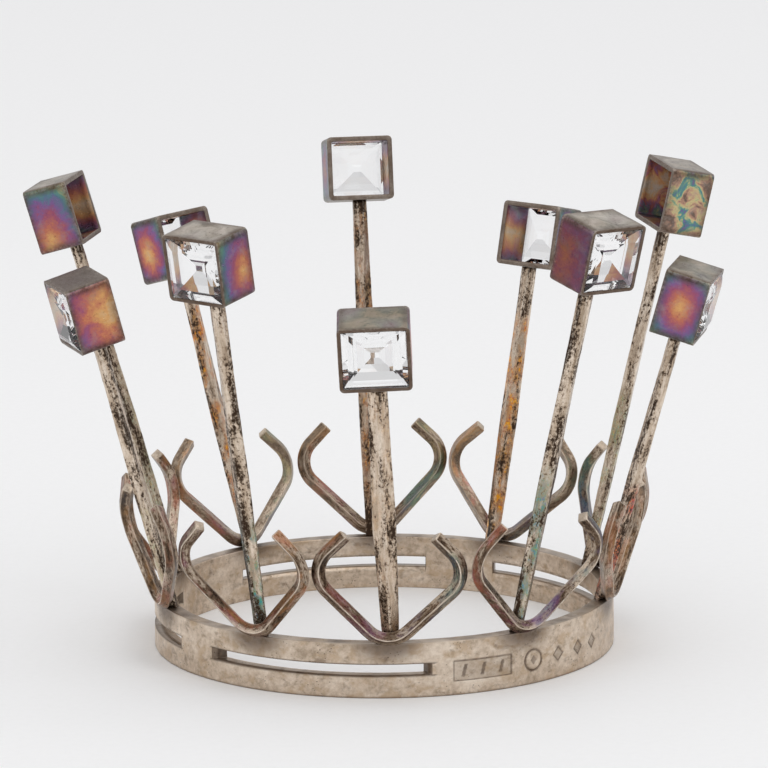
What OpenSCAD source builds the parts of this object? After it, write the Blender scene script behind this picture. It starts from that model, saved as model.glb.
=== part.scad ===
// Small silver bridal crown: a slotted band carries ten leaning spikes, each with a square
// box collet and a step-cut crystal at its head and an open wire chevron at its foot.
// Millimetres. The origin is level with the band's underside, under the middle of the whole
// crown's box, +Z is up, and the first spike stands at the front, on the -Y side.

/* [Band] */
// Outer radius of the band
band_r = 30; // [27:0.5:33]
// Wall thickness of the band
band_t = 2; // [1.8:0.1:2.4]
// Height of the band
band_h = 7.1; // [6.5:0.1:9]

/* [Slots] */
// Height of each slot through the band
slot_h = 1.5; // [1:0.1:2]
// Height of the slots' lower edge above the underside
slot_z = 2.85; // [2:0.05:3.5]
// How much further each end of a slot reaches outside than inside, degrees
slot_flare = 1.4; // [0:0.1:3]

/* [Punch marks] */
// Depth of the plain punch marks
punch_depth = 0.15; // [0.1:0.05:0.3]
// Height of the tallest punch mark
punch_h = 2.8; // [2:0.1:3.2]
// Height of the middle of the marks above the underside
punch_z = 3.1; // [2.5:0.1:4]

/* [Spikes] */
// Distance from the band's axis to the middle of each spike's foot
foot_r = 28.85; // [28.8:0.05:29]
// Length of the short spikes, band to collet
short_l = 37.3; // [30:0.1:44]
// Length of the long spikes, band to collet
long_l = 46.1; // [40:0.1:54]
// Nominal outward lean of the spikes, degrees
spike_lean = 14; // [8:0.5:18]
// Width of a spike at its foot
foot_w = 2.1; // [1.8:0.1:2.4]
// Width of a spike at its widest
belly_w = 2.6; // [2.2:0.1:3]
// Width of a spike at its head
head_w = 1.8; // [1.6:0.1:2.4]
// Radial depth of a spike at its foot
foot_d = 1.5; // [1.2:0.1:1.6]
// Radial depth of a spike at its thickest
belly_d = 1.9; // [1.6:0.1:2.2]
// Radial depth of a spike at its head
head_d = 1.5; // [1.2:0.1:1.8]
// Angle of the forged facets to the front face, degrees
facet_angle = 32; // [26:1:38]

/* [Chevrons] */
// Side of the square wire, bent edge on
wire_a = 1.3; // [1.1:0.05:1.4]
// Distance from the band's axis to the wire at the bottom bend
chevron_r = 30.2; // [30.1:0.05:30.4]
// Height of the wire's centreline above the band's top edge at the bottom bend
chevron_rise = 0.65; // [0.6:0.05:0.85]
// Nominal outward lean of the chevrons, degrees
chevron_lean = 12.5; // [8:0.5:18]
// Half width of a chevron, to the wire's centreline
chevron_half = 9.3; // [8:0.1:9.4]
// Slope of the lower arms, degrees
lower_slope = 45; // [40:0.5:50]
// Slope of the upper arms, degrees
upper_slope = 45; // [40:0.5:58]
// Length of the straight part of each upper arm
upper_l = 3.1; // [2:0.05:6]
// Radius of the bottom bend
bottom_bend = 3.5; // [2:0.1:4]
// Radius of the side bends
side_bend = 3.7; // [1.5:0.1:4]
// How much the wire has thinned where it is bent
bend_thinning = 0.02; // [0.01:0.01:0.05]

/* [Collets] */
// Width of a box collet
collet_w = 8.95; // [8:0.05:10]
// Height of a box collet, along its spike
collet_h = 8.65; // [8:0.05:10]
// Depth of a box collet, from its open back to its rim
collet_d = 5.95; // [5:0.05:7]
// Thickness of the sheet
sheet_t = 0.65; // [0.6:0.05:0.8]
// Thickness of the rim round the crystal
rim_t = 0.5; // [0.4:0.05:0.55]
// How far the middle of a box lies outside its spike's own line
collet_out = 0.5; // [0:0.1:1]
// Radius of the box's outer corners
collet_corner = 0.6; // [0.4:0.1:0.8]

/* [Crystals] */
// Depth of the crystal's girdle
girdle = 0.15; // [0.1:0.05:0.3]
// Height of the crown above the girdle
crown_rise = 0.55; // [0.4:0.05:0.8]
// How far the girdle lies inside the rim
rim_lip = 0.1; // [0.05:0.05:0.2]
// Half width of the table as a share of the crystal's half width
table_share = 0.65; // [0.5:0.05:0.75]

/* [Hidden] */
$fn = 96;
count = 10;
spacing = 360 / count;
first_az = -88;
// How far the band's axis stands from the middle of the whole crown's box, which is over
// the origin: the left-hand spikes lean out further than the right-hand ones
axis_x = 1.53;
// Where the four slots start and end, azimuth from +X in degrees
slots = [[3.5, 59.7], [77, 134], [160.5, 209.8], [223, 281.4]];
// How each hand-made spike differs from the nominal one: azimuth, outward lean, sideways
// tilt and twist in degrees, then length and width in millimetres
az_shift = [-0.4, -2.9, 1.1, 1.4, 3.6, 0.7, 0.4, -2.8, -0.2, 1.6];
lean_shift = [1.6, -0.5, 2.1, -2.5, -0.5, -1.5, 2.6, 2.1, 1.4, -3.4];
side_tilt = [-2.8, 3.7, -2.6, -5.2, -1.7, 1.4, 3.8, 3, 2, -0.7];
twist = [1.8, -4.8, -0.7, 1.3, 3.3, -5.7, -3.4, -4.9, -1.8, 5.9];
length_shift = [-0.3, 1.1, 0.1, 0.5, 0, -0.6, 0.2, -0.4, -0.1, -0.6];
width_shift = [0.4, 0.1, 0, 0, 0, 0, 0, 0, 0, 0];
// How much further out than collet_out each box sits on its spike
out_shift = [0, 0.1, -0.4, -0.1, 1, 0.1, -0.2, 0, 0.1, 0.1];
// How each hand-bent chevron differs: its turn round the band from its spike, outward lean
// and sideways tilt in degrees, then its half width in millimetres
chevron_turn = [-0.8, 1.1, 0.2, -0.7, -1.3, -0.6, 0, 2.3, -0.6, -0.5];
chevron_shift = [-5.5, -0.5, -1.8, 1.1, 2.9, 0.6, 6, -1.3, -2.2, -1];
chevron_tilt = [1.6, 2.2, -1.5, -0.7, -2.6, 1.8, -2, 1.5, 0.2, -1.8];
half_shift = [-0.45, 0.2, -0.4, 0.2, -0.1, 0, 0, -0.1, 0, -0.3];

// Punch marks on the plain stretch of the band: azimuths, with the frame's half width in
// degrees and the ring's radius in millimetres
bar_marks = [-70.4, -65.4, -60.4];
frame_mark = [-65.4, 8];
round_mark = [-51, 1.5];
small_marks = [-42.5, -34.5, -27.5];
degree = PI / 180;

// Spike stations as shares of the length, and the half sizes there
stations = [-0.05, 0, 0.45, 0.75, 1];
half_depths = [foot_d, foot_d, belly_d, (belly_d + head_d) / 2, head_d] / 2;
ridges = [for (d = half_depths) d * cos(facet_angle)];
head_ridge = ridges[4] + head_w / 4 * sin(facet_angle);

// The crystal's half widths and heights, from the culet to the table
stone_w = (collet_w - 2 * rim_t) / 2 - 0.02;
stone_h = (collet_h - 2 * rim_t) / 2 - 0.02;
steps = [[2.7, -2.4], [1.8, -1.85], [0.9, -1.1], [0, -girdle], [0, 0]];
table_in = stone_w * (1 - table_share);
girdle_z = collet_d / 2 - rim_lip;
rebate_d = rim_lip + girdle + 0.15;
open_w = collet_w - 2 * sheet_t;
open_h = collet_h - 2 * sheet_t;
open_corner = 0.2;
clear = 1;
big = 200;
// How far each straight stretch of wire runs on into the bends it joins
lap = 0.1;

function numbered(name) = [for (i = [1:count]) str(name, "_", i)];

function azimuth(i) = first_az + spacing * i + az_shift[i];
function spike_l(i) = (i % 2 == 0 ? short_l : long_l) + length_shift[i];
function polar(r, a) = [r * cos(a), r * sin(a)];
function mirrored(right) = concat(right, [for (i = [len(right) - 1:-1:0]) [-right[i].x, right[i].y]]);
function half_widths(i) = [foot_w, foot_w, belly_w + width_shift[i],
    (belly_w + head_w) / 2 + width_shift[i], head_w + 1.5 * width_shift[i]] / 2;

// Moves what is drawn about the band's axis to its place beside the origin
module in_frame() {
    translate([axis_x, 0, 0]) children();
}

// A rectangle with round corners
module round_rect(w, h, r) {
    square([w - 2 * r, h], center = true);
    square([w, h - 2 * r], center = true);
    for (x = [-1, 1], y = [-1, 1])
        translate([x * (w / 2 - r), y * (h / 2 - r)]) circle(r);
}

// A stretch of ring between two azimuths, for cutting the band's outer face
module ring_sector(from, to, inner, outer, z, h) {
    rotate_extrude(angle = to - from, start = from)
        translate([inner, z]) square([outer - inner, h]);
}

// Local frame of a spike: X along the band, Y up the spike, Z outwards, origin at its foot
module at_spike(i) {
    rotate([0, 0, azimuth(i)]) translate([foot_r, 0, band_h]) rotate([0, spike_lean + lean_shift[i], 0])
        rotate([90, 0, 90]) rotate([0, 0, -side_tilt[i]]) rotate([0, -twist[i], 0]) children();
}

// Local frame of a collet: as its spike's, with the origin at the middle of the box
module at_collet(i) {
    at_spike(i) translate([0, spike_l(i) + collet_h / 2, collet_out + out_shift[i]]) children();
}

// A slot's cutter, a little wider outside the band than inside it
module slot_cutter(from, to) {
    inner = [for (s = [0:0.125:1]) polar(band_r - band_t - clear, (from + slot_flare) * (1 - s) + (to - slot_flare) * s)];
    outer = [for (s = [1:-0.125:0]) polar(band_r + clear, from * (1 - s) + to * s)];
    translate([0, 0, slot_z]) linear_extrude(slot_h) polygon(concat(inner, outer));
}

// A punched outline: the recess between two ring sectors
module punched_frame(az, half, line) {
    difference() {
        ring_sector(az - half, az + half, band_r - punch_depth, band_r + clear, punch_z - punch_h / 2, punch_h);
        ring_sector(az - half + line / band_r / degree, az + half - line / band_r / degree,
            band_r - 2 * punch_depth, band_r + 2 * clear, punch_z - punch_h / 2 + line, punch_h - 2 * line);
    }
}

// A plain round punch
module punched_round(az, r) {
    rotate([0, 0, az]) translate([band_r - punch_depth, 0, punch_z]) rotate([0, 90, 0]) cylinder(r = r, h = clear);
}

// Generic punch marks: a frame with three bars, a ring, and three plain lozenges
module punch_marks() {
    punched_frame(frame_mark[0], frame_mark[1], 0.25);
    for (az = bar_marks)
        ring_sector(az - 0.4, az + 0.4, band_r - punch_depth, band_r + clear, punch_z - punch_h / 4, punch_h / 2);
    difference() {
        punched_round(round_mark[0], round_mark[1]);
        rotate([0, 0, round_mark[0]]) translate([band_r - 2 * punch_depth, 0, punch_z])
            rotate([0, 90, 0]) cylinder(r = round_mark[1] - 0.3, h = 2 * clear);
    }
    for (az = small_marks)
        rotate([0, 0, az]) translate([band_r - punch_depth + clear / 2, 0, punch_z])
            rotate([45, 0, 0]) cube([clear, 1.5, 1.5], center = true);
}

module band() {
    color("rosybrown") in_frame() difference() {
        cylinder(r = band_r, h = band_h);
        translate([0, 0, -clear]) cylinder(r = band_r - band_t, h = band_h + 2 * clear);
        for (s = slots) slot_cutter(s[0], s[1]);
        punch_marks();
    }
}

// A prism as wide as the given half sizes along the direction turned from X towards Z
module slab(turn, halves, l) {
    rotate([0, -turn, 0]) linear_extrude(8 * belly_d, center = true)
        polygon(mirrored([for (k = [0:len(stations) - 1]) [halves[k], stations[k] * l]]));
}

// The forged bar: a flat head, a swelling belly with a ridge, and a narrow foot
module forged_bar(i) {
    l = spike_l(i);
    facets = [ridges[0], ridges[1], ridges[2], ridges[3], head_ridge];
    at_spike(i) intersection() {
        slab(0, half_widths(i), l);
        slab(90, half_depths, l);
        slab(90 - facet_angle, facets, l);
        slab(90 + facet_angle, facets, l);
    }
}

module spike(i) {
    color("tan") in_frame() difference() {
        forged_bar(i);
        translate([-big / 2, -big / 2, band_h - big]) cube(big);
    }
}

// A straight stretch of the square wire, which stands on its edge
module straight_wire(start, direction, from, to) {
    translate(start) rotate([0, 0, direction]) rotate([90, 0, 90]) translate([0, 0, from])
        linear_extrude(to - from) rotate(45) square(wire_a, center = true);
}

module bent_wire(centre, radius, start, turn) {
    translate(centre) rotate_extrude(angle = turn, start = start)
        translate([radius, 0]) rotate(45) square(wire_a - bend_thinning, center = true);
}

// One side of a chevron, from the end of the bottom bend to the tip
module chevron_arm(half) {
    side_centre_x = half - side_bend;
    arm_start = polar(bottom_bend, lower_slope - 90) + [0, bottom_bend];
    arm_l = (side_centre_x + side_bend * sin(lower_slope) - arm_start.x) / cos(lower_slope);
    side_centre = arm_start + polar(arm_l, lower_slope) + polar(side_bend, lower_slope + 90);
    upper_start = side_centre + polar(side_bend, 90 - upper_slope);
    straight_wire(arm_start, lower_slope, -lap, arm_l + lap);
    bent_wire(side_centre, side_bend, lower_slope - 90, 180 - lower_slope - upper_slope);
    straight_wire(upper_start, 180 - upper_slope, -lap, upper_l);
}

// The wire is filed to sit on the band's top edge and against the spike's foot
module chevron(i) {
    color("saddlebrown") in_frame() difference() {
        rotate([0, 0, azimuth(i) + chevron_turn[i]]) translate([chevron_r, 0, band_h + chevron_rise])
            rotate([0, chevron_lean + chevron_shift[i], 0]) rotate([90, 0, 90]) rotate([0, 0, -chevron_tilt[i]]) {
                bent_wire([0, bottom_bend], bottom_bend, -90 - lower_slope, 2 * lower_slope);
                for (side = [0, 1]) mirror([side, 0, 0]) chevron_arm(chevron_half + half_shift[i]);
            }
        cylinder(r = band_r, h = band_h);
        forged_bar(i);
    }
}

// A square tube of sheet, open at the back, with a ledge just inside its rim
module collet(i) {
    color("dimgray") in_frame() at_collet(i) difference() {
        translate([0, 0, -collet_d / 2]) linear_extrude(collet_d) round_rect(collet_w, collet_h, collet_corner);
        translate([0, 0, -collet_d]) linear_extrude(2 * collet_d) round_rect(open_w, open_h, open_corner);
        translate([-collet_w / 2 + rim_t, -collet_h / 2 + rim_t, collet_d / 2 - rebate_d])
            cube([collet_w - 2 * rim_t, collet_h - 2 * rim_t, collet_d]);
    }
}

// One of the crystal's two crossed profiles
module stone_profile(half) {
    polygon(mirrored(concat([for (s = steps) [half - s[0], s[1]]], [[half - table_in, crown_rise]])));
}

// A square step cut, made of two crossed prisms
module crystal(i) {
    color("aliceblue", 0.6) in_frame() at_collet(i) translate([0, 0, girdle_z]) intersection() {
        rotate([90, 0, 0]) linear_extrude(2 * collet_h, center = true) stone_profile(stone_w);
        rotate([90, 0, 90]) linear_extrude(2 * collet_w, center = true) stone_profile(stone_h);
    }
}

band();
for (i = [0:count - 1]) {
    spike(i);
    chevron(i);
    collet(i);
    crystal(i);
}
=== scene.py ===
import math

import bmesh
import bpy
import numpy as np
from mathutils import Matrix, Vector, noise


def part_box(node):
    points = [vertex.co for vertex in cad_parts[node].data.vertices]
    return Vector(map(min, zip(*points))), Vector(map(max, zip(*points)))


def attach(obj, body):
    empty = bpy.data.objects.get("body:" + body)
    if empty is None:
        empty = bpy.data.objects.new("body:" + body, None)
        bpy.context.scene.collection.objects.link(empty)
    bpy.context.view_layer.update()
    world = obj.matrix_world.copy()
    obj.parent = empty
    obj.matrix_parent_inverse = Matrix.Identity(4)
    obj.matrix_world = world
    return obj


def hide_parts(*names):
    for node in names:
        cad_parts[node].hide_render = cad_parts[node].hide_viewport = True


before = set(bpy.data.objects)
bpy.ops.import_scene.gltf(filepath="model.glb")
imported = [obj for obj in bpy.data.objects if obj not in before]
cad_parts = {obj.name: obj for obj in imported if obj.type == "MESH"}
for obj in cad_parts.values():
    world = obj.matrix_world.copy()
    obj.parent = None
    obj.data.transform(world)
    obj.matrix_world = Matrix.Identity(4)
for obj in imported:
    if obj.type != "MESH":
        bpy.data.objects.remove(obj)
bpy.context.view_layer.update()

# A small bridal crown: a ring band, ten spikes, ten wire chevrons, ten box collets and ten
# crystals. The pieces are measured in millimetres and made in metres at the end, by MM. The
# lights and the camera are placed in metres.
MM = 0.001
COUNT = 10

# The band, and the radius of its section's corners. The ring's axis is beside the origin, and
# the pieces are worked out about this axis.
band_low, band_high = (np.array(corner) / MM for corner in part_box("band"))
AXIS = (band_low + band_high) / 2 * (1, 1, 0)
BAND_R = (band_high[0] - band_low[0]) / 2
BAND_H = band_high[2]
BAND_T = 2.0
BAND_EDGE = 0.16

# The slots: lower edge, opening, degrees that each end flares by, and the azimuths they span
SLOT_Z = 2.85
SLOT_H = 1.5
SLOT_FLARE = 1.4
SLOTS = ((3.5, 59.7), (77, 134), (160.5, 209.8), (223, 281.4))

# The punch marks: azimuth of the framed one's middle, height of their line, and softness
PUNCH_AZIMUTH = -65.4
PUNCH_Z = 3.1
PUNCH_SOFT = 0.09

# The spikes: slope of the section's facets, half depths at shares of the length, usual half
# width of the belly, half width of the flat at the head, and how far the foot is let in
FACET_ANGLE = math.radians(32)
STATIONS = (-0.05, 0, 0.45, 0.75, 1)
HALF_DEPTHS = (0.75, 0.75, 0.95, 0.85, 0.75)
BELLY = 1.3
HEAD_FLAT = 0.45
LET_IN = 0.05

# The chevrons: side of the square wire, radii of its bends, slope of its arms, straight tips,
# and the distance between the points of its centreline
WIRE = 1.3
BOTTOM_BEND = 3.5
SIDE_BEND = 3.7
SLOPE = math.pi / 4
UPPER_L = 3.1
PATH_STEP = 0.22

# The collets: outer size, corner radius, sheet thickness and the rim's width
COLLET = (8.95, 8.65, 5.95)
COLLET_CORNER = 0.6
SHEET = 0.65
RIM = 0.5

# The crystals: how far the girdle lies behind the rim, its height, the crown's rise, and the
# table's share of the half width
RIM_LIP = 0.1
GIRDLE = 0.15
CROWN_RISE = 0.55
TABLE_SHARE = 0.65

# The parts of a collet's surface
OUTSIDE, FRONT, INSIDE, BACK = range(4)


# ---------------------------------------------------------------- reading the CAD nodes

def triangles(node):
    """A CAD node's vertices about the ring's axis, and its triangles' areas, normals and centres."""
    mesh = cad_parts[node].data
    mesh.calc_loop_triangles()
    points = np.array([v.co for v in mesh.vertices]) / MM - AXIS
    corners = points[np.array([t.vertices for t in mesh.loop_triangles])]
    cross = np.cross(corners[:, 1] - corners[:, 0], corners[:, 2] - corners[:, 0])
    double = np.linalg.norm(cross, axis=1)
    keep = double > 1e-7
    return points, double[keep] / 2, cross[keep] / double[keep, None], corners[keep].mean(1)


def unit(v):
    return v / np.linalg.norm(v)


def middle(points, axes):
    """Centre of the box that holds the points along these axes."""
    along = points @ axes.T
    return ((along.min(0) + along.max(0)) / 2) @ axes


def collet_frame(i):
    """Axes (along the band, up the spike, outwards) and centre of a collet, from its CAD node."""
    _, area, normal, _ = triangles(f"crystal_{i}")
    out = normal[area.argmax()]
    points, area, normal, _ = triangles(f"collet_{i}")
    walls = normal[(area > 10) & (abs(normal @ out) < 0.01)]
    up = walls[walls[:, 2].argmax()]
    axes = np.array([unit(np.cross(up, out)), up, out])
    return axes, middle(points, axes)


def spike_frame(i, axes):
    """Foot and length of a spike, from its CAD node's flat head."""
    points = triangles(f"spike_{i}")[0]
    height = points @ axes[1]
    head = middle(points[height > height.max() - 0.02], axes)
    length = (head[2] - BAND_H) / axes[1][2]
    return head - length * axes[1], length


def chevron_frame(i):
    """Axes, bottom of the centreline and half width of a chevron, from its CAD node's cut ends."""
    _, area, normal, centre = triangles(f"chevron_{i}")
    flats = {}
    for a, n, c in zip(area, normal, centre):
        key = (*np.round(n, 3), round(float(n @ c), 2))
        flats.setdefault(key, []).append((a, n, c))
    ends = []
    for group in flats.values():
        total = sum(a for a, _, _ in group)
        if abs(total - WIRE * WIRE) < 0.02:
            ends.append((group[0][1], sum(a * c for a, _, c in group) / total))
    if len(ends) != 2:
        raise SystemExit(f"chevron_{i} shows {len(ends)} cut ends, not 2")
    up = unit(ends[0][0] + ends[1][0])
    across = unit(ends[1][1] - ends[0][1])
    outward = np.cross(across, up)
    if outward @ np.array([ends[0][1][0], ends[0][1][1], 0]) < 0:
        across, outward = -across, -outward
    tip = (ends[0][1] + ends[1][1]) / 2
    tip_x = np.linalg.norm(ends[1][1] - ends[0][1]) / 2
    half = tip_x + UPPER_L * math.cos(SLOPE) + SIDE_BEND * (1 - math.sin(SLOPE))
    axes = np.array([across, up, outward])
    return axes, tip - chevron_path(half)[0][-1][1] * up, half


# ---------------------------------------------------------------- mesh tools

def grainy(points, scale, seed):
    """Smooth noise from -1 to 1 at each point."""
    shift = Vector((7.3, 3.1, 5.7)) * seed
    return np.array([noise.noise(Vector(p) * scale + shift) for p in points])


def smoothstep(x):
    x = np.clip(x, 0, 1)
    return x * x * (3 - 2 * x)


def rounded(corners, radius):
    """A closed outline with each corner turned into a short arc, and 1 for each point on an arc, where
    wear and a painted edge highlight go.
    """
    cuts = []
    for k, corner in enumerate(corners):
        shorter = min(np.linalg.norm(corners[j] - corner) for j in (k - 1, (k + 1) % len(corners)))
        cuts.append(min(radius, 0.42 * shorter))
    points, worn = [], []
    for k, corner in enumerate(corners):
        after = (k + 1) % len(corners)
        forward = unit(corners[after] - corner)
        start = corner + unit(corners[k - 1] - corner) * cuts[k]
        end = corner + forward * cuts[k]
        for s in (0, 0.5, 1):
            points.append((1 - s) ** 2 * start + 2 * s * (1 - s) * corner + s * s * end)
            worn.append(1.0)
        stop = corners[after] - forward * cuts[after]
        for s in (0.07, 0.93):
            points.append(end + (stop - end) * s)
            worn.append(0.0)
    return np.array(points), np.array(worn)


def grid(rows, columns, wrap_rows=False):
    """Quads between rows of points, each row a closed loop."""
    faces = []
    for r in range(rows if wrap_rows else rows - 1):
        for c in range(columns):
            d = (c + 1) % columns
            s = (r + 1) % rows
            faces.append((r * columns + c, r * columns + d, s * columns + d, s * columns + c))
    return faces


def bar(rows, columns):
    """Quads between the rows, and a face over each end."""
    last = (rows - 1) * columns
    return grid(rows, columns) + [tuple(range(columns)), tuple(range(last, last + columns))]


def piece(name, points, faces, material, slot, node, smooth=True, **attributes):
    """One piece from points in millimetres about the ring's axis, standing for its CAD node."""
    mesh = bpy.data.meshes.new(name)
    mesh.from_pydata(((np.asarray(points) + AXIS) * MM).tolist(), [], faces)
    for key, values in attributes.items():
        values = np.asarray(values, np.float32)
        vector = values.ndim == 2
        layer = mesh.attributes.new(key, "FLOAT_VECTOR" if vector else "FLOAT", "POINT")
        layer.data.foreach_set("vector" if vector else "value", values.ravel())
    bm = bmesh.new()
    bm.from_mesh(mesh)
    bmesh.ops.delete(bm, geom=[v for v in bm.verts if not v.link_faces], context="VERTS")
    bmesh.ops.recalc_face_normals(bm, faces=bm.faces)
    bm.to_mesh(mesh)
    bm.free()
    mesh.polygons.foreach_set("use_smooth", [smooth] * len(mesh.polygons))
    mesh.materials.append(material)
    obj = bpy.data.objects.new(name, mesh)
    bpy.context.scene.collection.objects.link(obj)
    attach(obj, "root")
    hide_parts(node)
    return obj


# ---------------------------------------------------------------- materials

class Shader:
    """Builds one material. A socket given as an input is linked, and a number or colour is set."""

    def __init__(self, name):
        self.material = bpy.data.materials.new(name)
        self.material.use_nodes = True
        self.tree = self.material.node_tree
        self.surface = self.tree.nodes["Principled BSDF"]

    def put(self, socket, value):
        if isinstance(value, bpy.types.NodeSocket):
            self.tree.links.new(value, socket)
        else:
            socket.default_value = value

    def node(self, kind, inputs=(), **settings):
        made = self.tree.nodes.new("ShaderNode" + kind)
        for key, value in settings.items():
            setattr(made, key, value)
        for key, value in dict(inputs).items():
            self.put(made.inputs[key], value)
        return made

    def attribute(self, name):
        return self.node("Attribute", attribute_name=name).outputs["Fac"]

    def place(self, scale=(1, 1, 1), shift=(0, 0, 0)):
        """The piece's own coordinates in millimetres, stretched."""
        own = self.node("Attribute", attribute_name="own").outputs["Vector"]
        return self.node("Mapping", {"Vector": own, "Scale": scale, "Location": shift}).outputs[0]

    def noise(self, vector, scale, detail=4.0, roughness=0.55, distortion=0.0):
        made = self.node("TexNoise", {"Vector": vector, "Scale": scale, "Detail": detail,
                                      "Roughness": roughness, "Distortion": distortion})
        return made.outputs["Fac"]

    def spots(self, vector, scale):
        return self.node("TexVoronoi", {"Vector": vector, "Scale": scale}).outputs["Distance"]

    def remap(self, value, low, high, to_low=0.0, to_high=1.0):
        made = self.node("MapRange", {"Value": value, "From Min": low, "From Max": high,
                                      "To Min": to_low, "To Max": to_high})
        return made.outputs[0]

    def calc(self, operation, a, b):
        return self.node("Math", {0: a, 1: b}, operation=operation).outputs[0]

    def weigh(self, a, b, share):
        """A mix of two numbers that holds this share of the first."""
        return self.calc("ADD", self.calc("MULTIPLY", a, share), self.calc("MULTIPLY", b, 1 - share))

    def swing(self, value, size):
        """How far a noise is from its middle, times a size."""
        return self.calc("MULTIPLY", self.calc("SUBTRACT", value, 0.5), size)

    def mix(self, factor, a, b, blend="MIX"):
        made = self.node("Mix", {0: factor, 6: a, 7: b}, data_type="RGBA", blend_type=blend)
        return made.outputs[2]

    def ramp(self, factor, stops):
        made = self.node("ValToRGB", {"Fac": factor})
        elements = made.color_ramp.elements
        for k, (place, colour) in enumerate(stops):
            element = elements[k] if k < 2 else elements.new(place)
            element.position = place
            element.color = (*colour, 1)
        return made.outputs["Color"]

    def bump(self, height, distance, strength):
        made = self.node("Bump", {"Height": height, "Distance": distance, "Strength": strength})
        return made.outputs[0]

    def metal(self, tone, metallic, roughness, height, distance, strength):
        """Joins a metal's colour, roughness and bump to the surface, and gives the material."""
        self.put(self.surface.inputs["Base Color"], tone)
        self.put(self.surface.inputs["Metallic"], metallic)
        self.put(self.surface.inputs["Roughness"], roughness)
        self.put(self.surface.inputs["Normal"], self.bump(height, distance, strength))
        return self.material


# The colours a silver sulphide film passes through as it thickens
FILM = (
    (0.00, (0.70, 0.61, 0.50)),
    (0.10, (0.70, 0.52, 0.33)),
    (0.20, (0.74, 0.40, 0.15)),
    (0.30, (0.56, 0.18, 0.11)),
    (0.39, (0.36, 0.09, 0.17)),
    (0.48, (0.22, 0.12, 0.31)),
    (0.56, (0.10, 0.20, 0.29)),
    (0.65, (0.12, 0.32, 0.24)),
    (0.75, (0.60, 0.51, 0.25)),
    (0.86, (0.50, 0.29, 0.20)),
    (1.00, (0.15, 0.10, 0.08)),
)

# Metal where it is rubbed bare, also used for the painted highlight along edges
BARE_AND_HIGHLIT = (0.66, 0.58, 0.49, 1)
BARE_WIRE = (0.50, 0.40, 0.30, 1)
WIRE_WEAR_AND_HIGHLIGHT = (0.80, 0.69, 0.57, 1)
SHEET_WEAR_AND_HIGHLIGHT = (0.62, 0.55, 0.48, 1)

# Dirt and dark tarnish, from light to dark; the smear and smoke colours also paint shade
AMBER = (0.50, 0.35, 0.21, 1)
RUST = (0.25, 0.165, 0.10, 1)
STAIN = (0.185, 0.125, 0.08, 1)
SMOKE_AND_SHADE = (0.085, 0.048, 0.029, 1)
SMEAR_AND_SHADE = (0.070, 0.042, 0.027, 1)
CHAR = (0.052, 0.031, 0.019, 1)
SOOT = (0.035, 0.022, 0.015, 1)


def band_silver():
    s = Shader("band_silver")
    fine = s.noise(s.place(), 1.3, 6, 0.70)
    broad = s.noise(s.place((0.35, 0.35, 0.6)), 0.55, 4, 0.6)
    tone = s.ramp(s.weigh(fine, broad, 0.55), (
        (0.36, (0.41, 0.32, 0.235)), (0.48, (0.62, 0.505, 0.395)), (0.62, (0.80, 0.69, 0.575))))
    blotch = s.noise(s.place((1.0, 1.0, 1.5), (9, 2, 4)), 0.45, 7, 0.66, 0.5)
    tone = s.mix(s.remap(blotch, 0.55, 0.72, 0, 0.75), tone, STAIN)
    warm = s.noise(s.place((1, 1, 1.4), (2, 7, 9)), 0.4, 4, 0.6)
    tone = s.mix(s.remap(warm, 0.50, 0.62, 0, 0.5), tone, AMBER)
    pits = s.remap(s.spots(s.place((1, 1, 1.6), (3, 1, 2)), 1.7), 0.09, 0.19, 1, 0)
    where = s.remap(s.noise(s.place(shift=(5, 5, 1)), 0.35, 2), 0.47, 0.60)
    tone = s.mix(s.calc("MULTIPLY", pits, s.calc("MULTIPLY", where, 0.9)), tone, SOOT)
    # Dark smear from the dirt mask, which also holds painted shade in the slots
    smear_and_shade_mask = s.calc("MULTIPLY", s.attribute("grime"), s.remap(fine, 0.30, 0.62, 0.75, 1.0))
    tone = s.mix(smear_and_shade_mask, tone, SMEAR_AND_SHADE)
    tone = s.mix(s.attribute("worn"), tone, BARE_AND_HIGHLIT)
    roughness = s.remap(fine, 0.3, 0.7, 0.28, 0.48)
    return s.metal(tone, 0.92, roughness, s.calc("ADD", fine, pits), 0.00005, 0.6)


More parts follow.
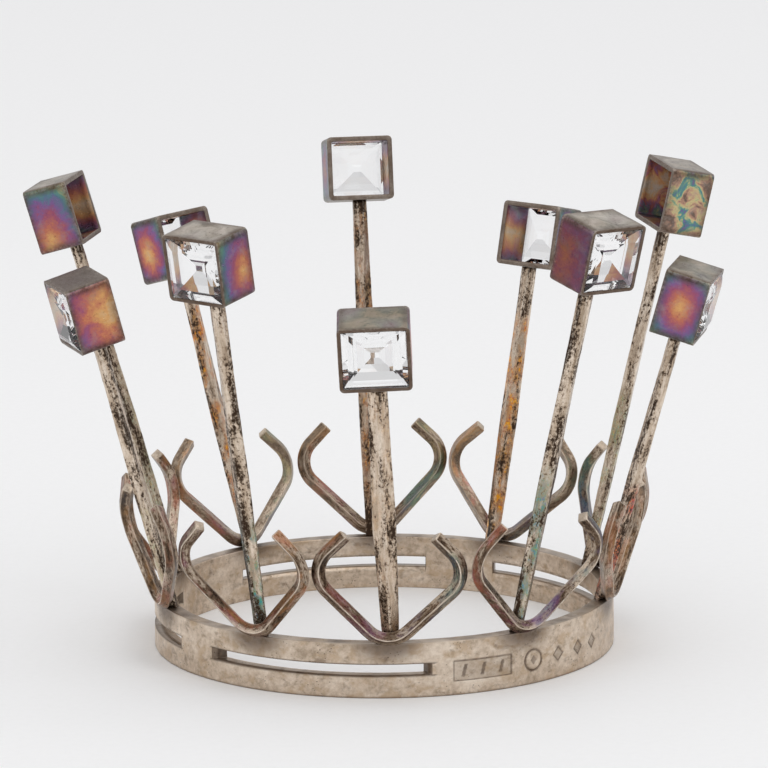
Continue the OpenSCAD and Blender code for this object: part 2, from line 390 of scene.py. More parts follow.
def spike_silver():
    s = Shader("spike_silver")
    streak = s.noise(s.place((1.3, 0.22, 1.3)), 1.0, 6, 0.62, 0.3)
    speck = s.noise(s.place((1.5, 1.0, 1.5), (4, 0, 7)), 1.9, 9, 0.80)
    tone = s.ramp(streak, (
        (0.32, (0.40, 0.31, 0.225)), (0.48, (0.62, 0.50, 0.385)), (0.64, (0.82, 0.705, 0.585))))
    # The film, in patches, and its most vivid flecks
    film = s.ramp(s.calc("ADD", s.attribute("film"), s.swing(speck, 0.9)), FILM)
    patch = s.remap(s.noise(s.place((0.5, 0.20, 0.5), (6, 2, 9)), 1.0, 4), 0.40, 0.54)
    cover = s.calc("MULTIPLY", patch, s.attribute("tint"))
    tone = s.mix(cover, tone, s.mix(0.6, film, tone, "MULTIPLY"))
    flecks = s.remap(s.noise(s.place((1.1, 0.7, 1.1), (2, 6, 3)), 1.3, 5, 0.7), 0.52, 0.57)
    vivid = s.node("HueSaturation", {"Color": film, "Saturation": 1.45, "Value": 1.25}).outputs[0]
    tone = s.mix(s.calc("MULTIPLY", flecks, cover), tone, vivid)
    # The dark speckle, which starts at a lower noise where it is dirty and in clusters
    cluster = s.remap(s.noise(s.place((0.8, 0.16, 0.8), (3, 9, 1)), 1.0, 3, 0.6), 0.42, 0.62, 0.0, 0.17)
    start = s.calc("SUBTRACT", s.calc("SUBTRACT", 0.66, s.attribute("grime")), cluster)
    above = s.calc("SUBTRACT", speck, start)
    tone = s.mix(s.remap(above, -0.10, 0.01, 0, 0.65), tone, RUST)
    dark = s.remap(above, 0, 0.05)
    tone = s.mix(dark, tone, CHAR)
    # Light metal on the rounded edges: wear and a painted edge highlight
    rubbed_and_highlit = s.calc("MULTIPLY", s.attribute("worn"), s.remap(speck, 0.46, 0.54, 0.8, 0.0))
    tone = s.mix(rubbed_and_highlit, tone, BARE_AND_HIGHLIT)
    roughness = s.remap(dark, 0, 1, 0.27, 0.55)
    relief = s.calc("ADD", streak, s.calc("MULTIPLY", dark, 0.4))
    return s.metal(tone, 0.9, roughness, relief, 0.00008, 0.7)


def wire_silver():
    s = Shader("wire_silver")
    speck = s.noise(s.place((0.9, 2.0, 2.0)), 1.6, 7, 0.72)
    run = s.noise(s.place((0.16, 0.8, 0.8), (2, 5, 1)), 1.0, 4, 0.6, 0.5)
    skin = s.ramp(s.weigh(run, speck, 0.5), (
        (0.40, (0.034, 0.020, 0.013)), (0.49, (0.15, 0.098, 0.062)), (0.58, (0.60, 0.49, 0.38))))
    film = s.ramp(s.calc("ADD", s.attribute("film"), s.swing(run, 0.55)), FILM)
    patch = s.remap(s.noise(s.place((0.22, 0.5, 0.5), (7, 1, 4)), 1.0, 4, 0.65), 0.46, 0.62)
    coloured = s.mix(0.45, film, skin, "MULTIPLY")
    tone = s.mix(s.calc("MULTIPLY", patch, s.attribute("tint")), skin, coloured)
    tone = s.mix(s.remap(speck, 0.56, 0.66, 0, 0.85), tone, SOOT)
    tone = s.mix(s.attribute("bare"), tone, BARE_WIRE)
    # Light metal on the rounded edges: wear and a painted edge highlight
    rubbed_and_highlit = s.calc("MULTIPLY", s.attribute("worn"), s.remap(speck, 0.40, 0.60, 1.0, 0.25))
    tone = s.mix(rubbed_and_highlit, tone, WIRE_WEAR_AND_HIGHLIGHT)
    return s.metal(tone, 0.88, s.remap(speck, 0.35, 0.7, 0.22, 0.46), speck, 0.00005, 0.5)


def collet_silver():
    s = Shader("collet_silver")
    drift = s.noise(s.place(), 0.36, 5, 0.62, 0.9)
    fine = s.noise(s.place(shift=(3, 3, 8)), 2.6, 6, 0.7)
    wander = s.swing(drift, s.attribute("blotch"))
    depth = s.calc("ADD", s.attribute("film"), s.calc("ADD", wander, s.swing(fine, 0.12)))
    film = s.ramp(depth, FILM)
    plain = s.ramp(s.weigh(drift, fine, 0.6), (
        (0.38, (0.15, 0.115, 0.085)), (0.50, (0.39, 0.335, 0.28)), (0.62, (0.57, 0.51, 0.45))))
    dull = s.remap(s.noise(s.place(shift=(8, 1, 5)), 0.5, 5, 0.65), 0.50, 0.70, 1.0, 0.6)
    tone = s.mix(s.calc("MULTIPLY", s.attribute("tint"), dull), plain, film)
    tone = s.mix(s.remap(fine, 0.60, 0.72, 0, 0.6), tone, SOOT)
    # Dark smoke from the dirt mask, which also holds painted shade on the bottom face
    smoke_and_shade_mask = s.calc("MULTIPLY", s.attribute("grime"), s.remap(fine, 0.30, 0.60, 0.75, 1.0))
    tone = s.mix(smoke_and_shade_mask, tone, SMOKE_AND_SHADE)
    # Light sheet on the edges: wear and a painted highlight
    rubbed_and_highlit = s.calc("MULTIPLY", s.attribute("worn"), s.remap(fine, 0.42, 0.58, 1.0, 0.10))
    tone = s.mix(rubbed_and_highlit, tone, SHEET_WEAR_AND_HIGHLIGHT)
    return s.metal(tone, 0.85, s.remap(fine, 0.3, 0.7, 0.24, 0.44), fine, 0.00003, 0.5)


def clear_crystal():
    s = Shader("crystal")
    veil = s.noise(s.place(), 1.1, 5, 0.6)
    s.surface.inputs["Base Color"].default_value = (0.995, 0.998, 1.0, 1)
    s.surface.inputs["Transmission Weight"].default_value = 1.0
    s.surface.inputs["IOR"].default_value = 1.55
    s.put(s.surface.inputs["Roughness"], s.remap(veil, 0.55, 0.75, 0.0, 0.04))
    return s.material


# ---------------------------------------------------------------- the band

def punch_depth(along, z):
    """How deep the plain punch marks go at arc lengths from the frame's middle, and heights."""
    depth = np.zeros_like(along)
    z = z - PUNCH_Z

    def press(distance, amount):
        return np.maximum(depth, amount * smoothstep(0.5 - distance / (2 * PUNCH_SOFT)))

    # A frame with three leaning bars
    edge = np.maximum(abs(along) - 4.15, abs(z) - 1.4)
    depth = press(edge, 0.07)
    depth = press(abs(edge + 0.12) - 0.11, 0.15)
    for bar_x in (-2.6, 0, 2.6):
        lean = along - bar_x - 0.25 * z
        depth = press(np.maximum(abs(lean) - 0.25, abs(z) - 0.78), 0.15)
    # A ring with a small lozenge in it
    ring_x = along - 7.55
    depth = press(abs(np.hypot(ring_x, z) - 1.35) - 0.17, 0.15)
    depth = press(abs(ring_x) + abs(z) * 0.8 - 0.55, 0.10)
    # Three lozenges
    for lozenge_x in (12.0, 16.2, 19.85):
        lozenge = abs(along - lozenge_x) + abs(z) - 1.06
        depth = press(lozenge, 0.08)
        depth = press(abs(lozenge + 0.15) - 0.17, 0.15)
    return depth


def band_stations():
    """Azimuths of the band's sections: close at the punch marks, and one at each slot's end."""
    azimuths = set(np.round(np.arange(-74.6, -22, 0.25), 3))
    azimuths |= set(np.round(np.arange(-22, 285.4, 1.0), 3))
    ends = [float(e) for slot in SLOTS for e in slot]
    kept = [a for a in azimuths if min(abs(a + turn - e) for e in ends for turn in (0, 360)) > 0.4]
    return sorted(kept + ends + [e + d for e in ends for d in (-0.25, 0.25)])


def band_profile():
    """The section's outline as (radius, height), and where the slot's four edges are in it."""
    inner_r, edge = BAND_R - BAND_T, BAND_EDGE
    slot_edges = [SLOT_Z, SLOT_Z + SLOT_H]

    def rows(step):
        heights = [edge]
        for low, high in ((edge, SLOT_Z), slot_edges, (slot_edges[1], BAND_H - edge)):
            heights += list(np.linspace(low, high, max(2, round((high - low) / step) + 1)))[1:]
        return heights

    def corner(r, z, from_angle):
        turn = np.radians(from_angle + np.array([22.5, 45, 67.5]))
        return [(r + edge * math.cos(a), z + edge * math.sin(a)) for a in turn]

    outer = [(BAND_R, z) for z in rows(0.13)]
    inner = [(inner_r, z) for z in reversed(rows(0.6))]
    flat = [(r, BAND_H) for r in np.linspace(BAND_R - edge, inner_r + edge, 5)]
    outline = outer + corner(BAND_R - edge, BAND_H - edge, 0) + flat
    outline += corner(inner_r + edge, BAND_H - edge, 90) + inner
    outline += corner(inner_r + edge, edge, 180) + [(r, 0) for r, _ in reversed(flat)]
    outline += corner(BAND_R - edge, edge, 270)
    outline = np.array(outline)

    def find(r, z):
        return int(np.hypot(outline[:, 0] - r, outline[:, 1] - z).argmin())

    return outline, [find(BAND_R, z) for z in slot_edges], [find(inner_r, z) for z in slot_edges]


def in_slot(azimuth):
    return any(start <= azimuth < end or start <= azimuth + 360 < end for start, end in SLOTS)


def band_faces(azimuths, columns, outer_slot, inner_slot, wall):
    """The band's quads with the slots left open, and the slots' floors, roofs and end walls."""
    windows = set(wall) - {outer_slot[1], inner_slot[0]}
    faces = []
    for k, azimuth in enumerate(azimuths):
        here, there = k * columns, (k + 1) % len(azimuths) * columns
        cut = in_slot(azimuth)
        for c in range(columns):
            if cut and c in windows:
                continue
            d = (c + 1) % columns
            faces.append((here + c, here + d, there + d, there + c))
        if cut:
            for o, n in zip(outer_slot, inner_slot):
                faces.append((here + o, there + o, there + n, here + n))
        if cut != in_slot(azimuths[k - 1]):
            faces.append(tuple(here + c for c in wall))
    return faces


def slot_dirt_and_shade(azimuths, columns, outer_slot, wall):
    """Dirt and painted shade along the slots' outer edges and on their end walls."""
    soil_and_shade = np.zeros(len(azimuths) * columns)
    for start, end in SLOTS:
        for k, azimuth in enumerate(azimuths):
            turned = azimuth if azimuth >= -1 else azimuth + 360
            if start - 0.9 <= turned <= end + 0.9:
                for row, beside in zip(outer_slot, (-1, 1)):
                    soil_and_shade[k * columns + row] = 0.85
                    soil_and_shade[k * columns + row + beside] = 0.35
    for k, azimuth in enumerate(azimuths):
        if any(azimuth in slot for slot in SLOTS):
            soil_and_shade[[k * columns + c for c in wall]] = 0.8
    return soil_and_shade


def make_band(material, chevron_feet):
    azimuths = band_stations()
    outline, outer_slot, inner_slot = band_profile()
    # How far each section turns towards its slot at the inner face: only near the slots' ends
    knots = []
    for start, end in SLOTS:
        for slot_end, way in ((start, 1), (end, -1)):
            knots += [(slot_end - 5, 0), (slot_end, way * SLOT_FLARE), (slot_end + 5, 0)]
    shift = np.interp(azimuths, *zip(*sorted(knots)))
    columns = len(outline)
    reach = (outline[:, 0] - (BAND_R - BAND_T)) / BAND_T
    points, along = [], []
    for azimuth, inward in zip(azimuths, shift):
        angle = np.radians(azimuth + inward * (1 - reach))
        points.append(np.stack([np.cos(angle), np.sin(angle), outline[:, 1]], -1))
        from_frame = np.radians(((azimuth - PUNCH_AZIMUTH + 180) % 360) - 180)
        along.append(np.full(columns, from_frame * BAND_R))
    points, along = np.concatenate(points), np.concatenate(along)
    radius = np.tile(outline[:, 0], len(azimuths))
    height = points[:, 2].copy()
    marked = (radius > BAND_R - 0.05) & (abs(along - 9) < 16)
    depth = np.zeros(len(points))
    depth[marked] = punch_depth(along[marked], height[marked])
    flat = np.stack([points[:, 0] * radius, points[:, 1] * radius, height], -1)
    wave = 0.035 * grainy(flat, 0.16, 1) + 0.012 * grainy(flat, 0.9, 2)
    radius = radius - depth + wave - 0.035
    flat[:, :2] = points[:, :2] * radius[:, None]
    edge_wave = 0.03 * grainy(flat, 0.35, 3)
    flat[:, 2] = np.where(height > BAND_H - 0.5, height + edge_wave - 0.03, height)
    wall = [*range(outer_slot[0], outer_slot[1] + 1), *range(inner_slot[1], inner_slot[0] + 1)]
    faces = band_faces(azimuths, columns, outer_slot, inner_slot, wall)

    # Dirt in the marks, darker around the chevrons' feet, dirt and painted shade at the slots, dirt on
    # the top, and darker along the bottom of the outer face
    grime = 0.95 * smoothstep((depth - 0.04) / 0.09) * (0.8 + 0.25 * grainy(flat, 1.4, 5))
    for foot in chevron_feet:
        away = np.linalg.norm((flat - foot) * (0.62, 0.62, 0.9), axis=1)
        grime = np.maximum(grime, 0.85 * smoothstep(1.45 - away / 2.6))
    # Dirt and painted shade along the slots' edges and on their end walls
    grime = np.maximum(grime, slot_dirt_and_shade(azimuths, columns, outer_slot, wall))
    on_top = (height > BAND_H - 0.02) * (0.45 + 0.5 * grainy(flat, 0.5, 8))
    grime = np.maximum(grime, on_top)
    low = smoothstep((0.35 - height) / 0.3) * 0.55
    grime = np.clip(np.maximum(grime, low * (radius > BAND_R - 0.6)), 0, 1)
    worn = 0.5 * smoothstep((height - BAND_H + 0.22) / 0.2) * (radius > BAND_R - 0.5)
    band = piece("crown_band", flat, faces, material, "band_silver", "band",
                 own=flat, worn=worn * (0.6 + 0.4 * grainy(flat, 0.5, 6)), grime=grime)

    bm = bmesh.new()
    bm.from_mesh(band.data)
    sharp = [e for e in bm.edges if e.is_manifold and e.calc_face_angle(0) > math.radians(60)]
    bmesh.ops.bevel(bm, geom=sharp, offset=0.05 * MM, segments=2, affect="EDGES", clamp_overlap=True)
    bm.to_mesh(band.data)
    bm.free()
    band.data.polygons.foreach_set("use_smooth", [True] * len(band.data.polygons))


# ---------------------------------------------------------------- the spikes

def spike_section(half_w, half_d, ridge):
    """A forged section's corners: two sides, and facets that rise to a ridge or a narrow flat."""
    side = max(0.06, (ridge - half_w * math.sin(FACET_ANGLE)) / math.cos(FACET_ANGLE))
    flat = max(0.07, (ridge - half_d * math.cos(FACET_ANGLE)) / math.sin(FACET_ANGLE))
    front = [(half_w, side), (flat, half_d), (-flat, half_d), (-half_w, side)]
    return np.array(front + [(-x, -z) for x, z in front])


# Each spike's dark speckle, its film's thickness and strength, and the share of the length that
# the film covers, from the foot up
SPIKE_LOOKS = {
    1: (0.02, 0.20, 0.10, 1.0),
    2: (0.05, 0.64, 0.70, 0.45),
    3: (0.03, 0.34, 0.90, 0.40),
    4: (0.02, 0.72, 0.55, 0.5),
    5: (0.02, 0.22, 0.85, 0.8),
    6: (0.03, 0.88, 0.85, 1.0),
    7: (0.02, 0.24, 0.85, 0.9),
    8: (0.03, 0.70, 0.35, 0.6),
    9: (0.03, 0.72, 0.20, 0.4),
    10: (0.05, 0.64, 0.95, 0.32),
}


def make_spike(i, axes, material):
    grime, film, strength, high = SPIKE_LOOKS[i]
    foot, length = spike_frame(i, axes)
    belly = np.ptp((triangles(f"spike_{i}")[0] - foot) @ axes[0]) / 2
    extra = belly - BELLY
    half_widths = (1.05, 1.05, belly, 1.1 + extra, 0.9 + 1.5 * extra)
    ridges = [d * math.cos(FACET_ANGLE) for d in HALF_DEPTHS]
    ridges[-1] += HEAD_FLAT * math.sin(FACET_ANGLE)
    ys = np.linspace(-0.3, length, 130)
    rings, worn = [], []
    for y in ys:
        sizes = [np.interp(y / length, STATIONS, row) for row in (half_widths, HALF_DEPTHS, ridges)]
        outline, ring_worn = rounded(spike_section(*sizes), 0.11)
        rings.append(np.column_stack([outline[:, 0], np.full(len(outline), y), outline[:, 1]]))
        worn.append(ring_worn)
    local, worn = np.concatenate(rings), np.concatenate(worn)
    out = local * (1, 0, 1)
    out = out / np.linalg.norm(out, axis=1)[:, None]
    dents = 0.045 * grainy(local * (1, 0.45, 1), 0.8, i) + 0.02 * grainy(local, 2.2, i + 20)
    bow = 0.06 * grainy(local * (0, 0.08, 0), 1.0, i + 40)
    shaped = local + out * dents[:, None]
    shaped[:, 0] += bow * smoothstep(local[:, 1] / 4) * smoothstep((length - local[:, 1]) / 4)
    points = foot + shaped @ axes
    buried = points[:, 2] < BAND_H - LET_IN
    points[buried, 2] = BAND_H - LET_IN

    foot_dirt = 0.09 * smoothstep(1 - local[:, 1] / 4)
    head_dirt = 0.10 * smoothstep(1 - (length - local[:, 1]) / 3)
    side_dirt = 0.035 * smoothstep((abs(local[:, 0]) - 0.45 * belly) / (0.3 * belly))
    soil_and_shade = grime + foot_dirt + head_dirt + side_dirt
    soil_and_shade = soil_and_shade + 0.09 * grainy(local * (1, 0.15, 1), 0.9, i + 60)
    reach = local[:, 1] / length
    tint = strength * smoothstep(reach / 0.12 + 0.5) * smoothstep((high - reach) / 0.12 + 0.5)
    piece(f"crown_spike_{i}", points, bar(len(ys), len(rings[0])), material, "spike_silver",
          f"spike_{i}", own=local + np.array([i * 13.7, i * 5.1, i * 3.3]),
          worn=worn * (0.55 + 0.45 * grainy(local, 0.7, i + 80)), grime=soil_and_shade,
          film=np.full(len(points), film), tint=np.where(buried, 0, tint))


# ---------------------------------------------------------------- the wire chevrons

def chevron_path(half):
    """The wire's centreline from the bottom bend's middle to the right-hand tip, and its directions."""
    bend_end = np.array([BOTTOM_BEND * math.sin(SLOPE), BOTTOM_BEND * (1 - math.cos(SLOPE))])
    side_x = half - SIDE_BEND
    arm = (side_x + SIDE_BEND * math.sin(SLOPE) - bend_end[0]) / math.cos(SLOPE)
    arm_end = bend_end + arm * np.array([math.cos(SLOPE), math.sin(SLOPE)])
    side_centre = arm_end + SIDE_BEND * np.array([-math.sin(SLOPE), math.cos(SLOPE)])
    points, turns = [], []

    def arc(centre, radius, start, end):
        count = max(3, round(abs(end - start) * radius / PATH_STEP))
        for a in np.linspace(start, end, count, endpoint=False):
            points.append(centre + radius * np.array([math.cos(a), math.sin(a)]))
            turns.append(a + math.pi / 2)

    def straight(start, direction, length, closed=False):
        for s in np.linspace(0, length, max(2, round(length / PATH_STEP)), endpoint=closed):
            points.append(start + s * np.array([math.cos(direction), math.sin(direction)]))
            turns.append(direction)

    arc(np.array([0, BOTTOM_BEND]), BOTTOM_BEND, -math.pi / 2, -math.pi / 2 + SLOPE)
    straight(bend_end, SLOPE, arm)
    bend_top = math.pi / 2 - SLOPE
    arc(side_centre, SIDE_BEND, SLOPE - math.pi / 2, bend_top)
    top = side_centre + SIDE_BEND * np.array([math.cos(bend_top), math.sin(bend_top)])
    straight(top, math.pi - SLOPE, UPPER_L, True)
    return np.array(points), np.array(turns)


# The film at each wire's left and right end, seen from outside, and how strongly it shows
WIRE_FILM = {
    1: (0.31, 0.62, 0.55), 2: (0.32, 0.56, 0.70), 3: (0.26, 0.20, 0.50), 4: (0.22, 0.68, 0.55),
    5: (0.72, 0.20, 0.95), 6: (0.74, 0.22, 0.95), 7: (0.76, 0.18, 0.95), 8: (0.28, 0.32, 0.55),
    9: (0.22, 0.33, 0.50), 10: (0.40, 0.22, 0.65),
}

# The wires at the back, whose dark skin is thinner
BARER = (5, 6, 7)


def make_chevron(i, material):
    """One chevron. The result is the bottom of its centreline, where it stands on the band."""
    axes, bottom, half = chevron_frame(i)
    right, turns = chevron_path(half)
    path = np.concatenate([right[::-1][:-1] * (-1, 1), right])
    turns = np.concatenate([-turns[::-1][:-1], turns])
    along = np.concatenate([[0], np.cumsum(np.linalg.norm(np.diff(path, axis=0), axis=1))])
    total = along[-1]
    half_diagonal = WIRE / math.sqrt(2)
    quarters = np.arange(4) * math.pi / 2
    # The rings as (place on the path, size, how far inwards), with two at each end to round it off
    tips = ((0.80, 0.0), (0.94, 0.06))
    order = [(0, share, inset) for share, inset in tips]
    order += [(j, 1.0, 0.0) for j in range(1, len(path) - 1)]
    order += [(len(path) - 1, share, -inset) for share, inset in reversed(tips)]
    rings, worn, own = [], [], []
    for j, share, inset in order:
        forward = np.array([math.cos(turns[j]), math.sin(turns[j]), 0])
        side = np.array([-math.sin(turns[j]), math.cos(turns[j]), 0])
        wobble = np.array([along[j] * 0.35, i * 3.1, 0])
        roll = 0.07 * grainy([wobble], 1, i)[0]
        size = half_diagonal * share * (1 + 0.02 * grainy([wobble + 9], 1, i)[0])
        corners = np.array([(math.cos(roll + a), math.sin(roll + a)) for a in quarters]) * size
        outline, ring_worn = rounded(corners, 0.08)
        centre = np.array([*path[j], 0]) + forward * inset
        rings.append(centre + outline[:, :1] * side + outline[:, 1:] * np.array([0, 0, 1]))
        worn.append(ring_worn if share == 1 else np.ones(len(outline)))
        own.append(np.column_stack([np.full(len(outline), along[j]), outline]))
    local, own, worn = (np.concatenate(rows) for rows in (rings, own, worn))
    local = local + 0.012 * grainy(local, 1.6, i + 100)[:, None]
    points = bottom + local @ axes
    on_band = (points[:, 2] < BAND_H) & (np.hypot(points[:, 0], points[:, 1]) < BAND_R)
    points[on_band, 2] = BAND_H - 0.02

    from_tip = np.minimum(own[:, 0], total - own[:, 0])
    bare = 0.80 * smoothstep(1.2 - from_tip / 0.20) * (0.9 + 0.3 * grainy(own * (0.2, 1, 1), 1, i + 120))
    if i in BARER:
        bare = np.maximum(bare, 0.20)
    outward = local[:, 2] > 0.2
    # Wear and a painted edge highlight, stronger on the outer side
    worn = worn * (0.40 + 0.50 * outward + 0.30 * grainy(own * (0.3, 1, 1), 1, i + 140))
    left_film, right_film, tint = WIRE_FILM[i]
    film = left_film + (right_film - left_film) * smoothstep(own[:, 0] / total)
    piece(f"crown_chevron_{i}", points, bar(len(order), len(rings[0])), material, "wire_silver",
          f"chevron_{i}", own=own + np.array([i * 17.3, i * 4.1, i * 2.7]),
          worn=np.clip(worn, 0, 1), bare=np.clip(bare, 0, 1), film=film,
          tint=np.full(len(film), tint))
    return bottom


# ---------------------------------------------------------------- the box collets

# How the tarnish lies on each box's two side faces: where its thinnest spot is (from the open
# back at -1 to the rim at 1, from the bottom at -1 to the top at 1), the film there, how fast
# it thickens away from it, and how blotchy it is
TARNISH = {
    1: (0.0, 0.0, 0.24, 0.20, 0.5),
    2: (-0.3, -0.2, 0.31, 0.10, 0.30),
    3: (0.0, 0.05, 0.15, 0.36, 0.25),
    4: (0.1, 0.0, 0.74, 0.04, 1.7),
    5: (0.0, 0.0, 0.30, 0.25, 0.5),
    6: (0.0, 0.0, 0.30, 0.25, 0.5),
    7: (0.2, -0.1, 0.13, 0.36, 0.35),
    8: (0.3, -0.6, 0.19, 0.26, 0.4),
    9: (-0.7, 0.1, 0.15, 0.16, 0.35),
    10: (-0.45, -0.15, 0.17, 0.30, 0.3),
}


# How brown and how coloured each box's top is, and how brown its sides are
TOPS = {
    1: (0.45, 0.25, 0.1), 2: (0.08, 0.08, 0.48), 3: (0.28, 0.15, 0.0), 4: (0.0, 0.05, 0.0),
    5: (0.2, 0.2, 0.2), 6: (0.5, 0.1, 0.4), 7: (0.2, 0.2, 0.0), 8: (0.05, 0.05, 0.12),
    9: (0.92, 0.10, 0.0), 10: (0.10, 0.05, 0.0),
}


def square_loop(half_w, half_h, corner, per_side=12, per_corner=4):
    """A closed rectangle with round corners, walked anticlockwise from the right side's bottom."""
    loop = []
    centres = ((1, 1), (-1, 1), (-1, -1), (1, -1))
    for k, (sx, sy) in enumerate(centres):
        cx, cy = sx * (half_w - corner), sy * (half_h - corner)
        turn = k * math.pi / 2
        for a in np.linspace(turn, turn + math.pi / 2, per_corner + 1):
            loop.append((cx + corner * math.cos(a), cy + corner * math.sin(a)))
        nx, ny = centres[(k + 1) % 4]
        start = np.array(loop[-1])
        a = turn + math.pi / 2
        end = np.array([nx * (half_w - corner), ny * (half_h - corner)])
        end = end + corner * np.array([math.cos(a), math.sin(a)])
        loop += [tuple(start + (end - start) * s) for s in np.linspace(0, 1, per_side + 1)[1:-1]]
    return np.array(loop)


def make_collet(i, axes, centre, material):
    w, h, d = (v / 2 for v in COLLET)
    lip, bevel = 0.12, 0.10
    # The ledge inside the rim ends 0.15 mm behind the crystal's girdle
    rebate = d - (RIM_LIP + GIRDLE + 0.15)
    # (inset from the outer face, corner radius, height, part of the surface)
    levels = [(0, COLLET_CORNER, z, OUTSIDE) for z in np.linspace(-d + bevel, d - lip, 11)]
    levels += [(0.035, 0.57, d - 0.035, FRONT), (lip, 0.5, d, FRONT)]
    levels += [(RIM - 0.09, 0.25, d - 0.01, FRONT), (RIM - 0.02, 0.2, d - 0.05, FRONT)]
    levels += [(RIM, 0.2, d - 0.13, INSIDE), (RIM, 0.2, rebate, INSIDE)]
    levels += [(SHEET, 0.2, rebate - 0.02, INSIDE)]
    levels += [(SHEET, 0.2, z, INSIDE) for z in np.linspace(rebate - 0.3, -d + 0.1, 8)]
    levels += [(SHEET - 0.04, 0.22, -d + 0.03, BACK), (SHEET - 0.12, 0.25, -d, BACK)]
    levels += [(bevel, 0.5, -d, BACK), (0.03, 0.57, -d + 0.03, BACK)]
    rings, part, inset = [], [], []
    for level_inset, corner, z, level_part in levels:
        loop = square_loop(w - level_inset, h - level_inset, corner)
        rings.append(np.column_stack([loop, np.full(len(loop), z)]))
        part.append(np.full(len(loop), level_part))
        inset.append(np.full(len(loop), level_inset))
    local, part, inset = (np.concatenate(rows) for rows in (rings, part, inset))
    faces = grid(len(levels), len(rings[0]), wrap_rows=True)
    outside, rim, inside, back = (part == kind for kind in (OUTSIDE, FRONT, INSIDE, BACK))
    shaped = local.copy()
    dents = 0.03 * grainy(local, 0.3, i + 200) + 0.014 * grainy(local, 1.1, i + 220)
    outwards = np.sign(local[:, :2]) * (abs(local[:, :2]) > (w - 1, h - 1))
    shaped[:, :2] += outwards * (dents - 0.03)[:, None] * outside[:, None]
    shaped[:, 2] += (0.025 * grainy(local, 0.6, i + 240) - 0.02) * rim
    points = centre + shaped @ axes

    # The film: rings of colour on the side faces, and the top, bottom and inside on their own
    side = abs(local[:, 0]) / w > abs(local[:, 1]) / h
    u, v = local[:, 2] / d, local[:, 1] / h
    thin_u, thin_v, thin, gain, blotch = TARNISH[i]
    top_brown, top_tint, side_brown = TOPS[i]
    across = np.where(side, v, local[:, 0] / w)
    film = thin + gain * np.hypot(u - thin_u, (v - thin_v) * 1.1)
    film = np.where(side, film, 0.68 + 0.3 * grainy(local, 0.35, i + 320))
    film_inside = 0.10 + 0.5 * abs(across) + 0.12 * grainy(local, 0.4, i + 260)
    film = np.where(inside | back, film_inside, film)
    tint = np.where(side, 0.96, top_tint) * outside + 0.80 * inside

    # Dirt on the margins of the faces, the rim and the back edge; darker inside, most towards the
    # corners; painted shade on the bottom face
    margin = np.maximum(abs(u), abs(across))
    grime = outside * smoothstep((margin - 0.66) / 0.27) * (0.84 + 0.4 * grainy(local, 0.6, i + 280))
    grime = np.maximum(grime, outside * np.where(side, side_brown, top_brown))
    inner_darkening = 0.15 + 0.55 * smoothstep(abs(across) * 1.6 - 0.6)
    grime = grime + rim * 0.90 + 0.75 * back + inside * inner_darkening
    # Painted shade: the bottom face is darkened
    grime = np.where((local[:, 1] < -h * 0.95) & outside, 0.8, grime)

    # Painted highlight on the lit front and back edges of the sides, on the back and on the rim's outer
    # lip, with wear at the corners and little inside
    corner_wear = smoothstep((abs(local[:, 0]) / w + abs(local[:, 1]) / h - 1.83) / 0.12)
    edge_z = smoothstep((abs(local[:, 2]) - d + 0.16) / 0.12)
    lit_edge = edge_z * outside + 0.3 * back + 0.8 * rim * (inset < 0.1)
    worn = 0.62 * lit_edge + 0.45 * corner_wear * edge_z + 0.25 * corner_wear
    worn = worn * (0.7 + 0.7 * grainy(local, 0.8, i + 300)) * np.where(inside, 0.1, 1)
    piece(f"crown_collet_{i}", points, faces, material, "collet_silver", f"collet_{i}",
          own=local + np.array([i * 11.0, i * 7.0, i * 3.0]), film=np.clip(film, 0, 0.92),
          tint=np.clip(tint, 0, 1), grime=np.clip(grime, 0, 0.95), worn=np.clip(worn, 0, 0.9),
          blotch=np.full(len(points), blotch))


# ---------------------------------------------------------------- the crystals

def make_crystal(i, axes, centre, material):
    """A square step cut: table, two crown steps, girdle, four pavilion steps and a small culet."""
    half_w, half_h = COLLET[0] / 2 - RIM - 0.02, COLLET[1] / 2 - RIM - 0.02
    table = half_w * (1 - TABLE_SHARE)
    # (inset from the girdle, height above it)
    steps = [(table, CROWN_RISE), (table * 0.52, CROWN_RISE * 0.66), (0, 0.02), (0, -GIRDLE)]
    steps += [(0.9, -1.1), (1.8, -1.85), (2.7, -2.4), (3.45, -2.68)]
    square = np.array([(1, -1), (1, 1), (-1, 1), (-1, -1)])
    base = centre + axes[2] * (COLLET[2] / 2 - RIM_LIP)
    rings = []
    for inset, height in steps:
        ring = square * (half_w - inset, half_h - inset)
        rings.append(np.column_stack([ring, np.full(4, height)]))
    local = np.concatenate(rings)
    piece(f"crown_crystal_{i}", base + local @ axes, bar(len(steps), 4), material, "crystal",
          f"crystal_{i}", smooth=False, own=local + np.array([i * 9.0, 0, 0]))


# ---------------------------------------------------------------- stage

def make_stage():
    s = Shader("stage_paper")
    where = s.node("TexCoord").outputs["Object"]
    fibres = s.noise(where, 900, 5, 0.6)
    paper = s.ramp(fibres, ((0.3, (0.935, 0.935, 0.935)), (0.7, (0.955, 0.955, 0.955))))
    s.put(s.surface.inputs["Base Color"], paper)
    s.surface.inputs["Roughness"].default_value = 0.9
    s.surface.inputs["Specular IOR Level"].default_value = 0.1
    bm = bmesh.new()
    bmesh.ops.create_grid(bm, x_segments=8, y_segments=8, size=4)
    mesh = bpy.data.meshes.new("floor")
    bm.to_mesh(mesh)
    bm.free()
    mesh.materials.append(s.material)
    floor = bpy.data.objects.new("floor", mesh)
    bpy.context.scene.collection.objects.link(floor)


def soft_light(name, place, aim, size, power):
    lamp = bpy.data.lights.new(name, "AREA")
    lamp.shape = "RECTANGLE"
    lamp.size, lamp.size_y = size
    lamp.energy = power
    obj = bpy.data.objects.new(name, lamp)
    obj.location = place
    obj.rotation_euler = (Vector(aim) - Vector(place)).to_track_quat("-Z", "Y").to_euler()
    bpy.context.scene.collection.objects.link(obj)


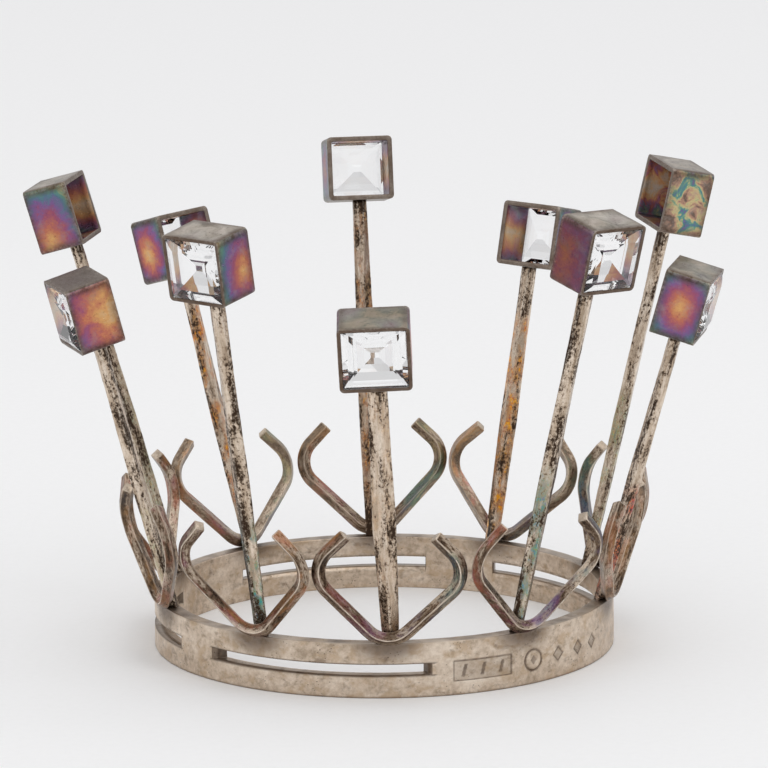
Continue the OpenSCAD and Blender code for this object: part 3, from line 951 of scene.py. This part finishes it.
def make_lights():
    """A studio that is greyer below than above, and two soft lamps."""
    world = bpy.data.worlds.new("studio")
    bpy.context.scene.world = world
    world.use_nodes = True
    tree = world.node_tree
    where = tree.nodes.new("ShaderNodeTexCoord").outputs["Generated"]
    split = tree.nodes.new("ShaderNodeSeparateXYZ")
    ramp = tree.nodes.new("ShaderNodeValToRGB")
    tree.links.new(where, split.inputs[0])
    tree.links.new(split.outputs["Z"], ramp.inputs[0])
    for k, (height, grey) in enumerate(((0.0, 0.66), (0.22, 0.70), (0.42, 0.96), (1.0, 0.82))):
        element = ramp.color_ramp.elements[k] if k < 2 else ramp.color_ramp.elements.new(height)
        element.position, element.color = height, (grey, grey, grey * 1.01, 1)
    background = tree.nodes["Background"]
    tree.links.new(ramp.outputs["Color"], background.inputs["Color"])
    background.inputs["Strength"].default_value = 0.97
    soft_light("key", (0.30, -0.20, 0.75), (0, 0, 0.03), (0.6, 0.6), 0.9)
    soft_light("fill", (-0.6, -0.45, 0.45), (0, 0, 0.03), (0.6, 0.5), 0.2)


def make_camera():
    """The camera of the photo, as solved from the band's edges and the boxes' corners."""
    pitch, yaw, roll = (math.radians(a) for a in (11.73, 0.017, -0.452))
    ahead = math.cos(pitch)
    forward = Vector((math.sin(yaw) * ahead, math.cos(yaw) * ahead, -math.sin(pitch)))
    level = Vector((math.cos(yaw), -math.sin(yaw), 0))
    above = level.cross(forward)
    right = math.cos(roll) * level + math.sin(roll) * above
    up = -math.sin(roll) * level + math.cos(roll) * above
    data = bpy.data.cameras.new("camera")
    data.sensor_width = 36
    data.lens = 248.4
    data.clip_start, data.clip_end = 0.05, 20
    camera = bpy.data.objects.new("camera", data)
    rotation = Matrix((right, up, -forward)).transposed().to_4x4()
    camera.matrix_world = Matrix.Translation((AXIS[0] * MM, -0.6721, 0.17359)) @ rotation
    bpy.context.scene.collection.objects.link(camera)
    bpy.context.scene.camera = camera


# ---------------------------------------------------------------- the crown

make_stage()
make_lights()
make_camera()
bpy.context.scene.view_settings.view_transform = "Standard"

band_metal, spike_metal, wire_metal = band_silver(), spike_silver(), wire_silver()
collet_metal, stone = collet_silver(), clear_crystal()
feet = []
for number in range(1, COUNT + 1):
    box_axes, box_centre = collet_frame(number)
    make_collet(number, box_axes, box_centre, collet_metal)
    make_crystal(number, box_axes, box_centre, stone)
    make_spike(number, box_axes, spike_metal)
    feet.append(make_chevron(number, wire_metal))
make_band(band_metal, feet)

bpy.context.view_layer.update()
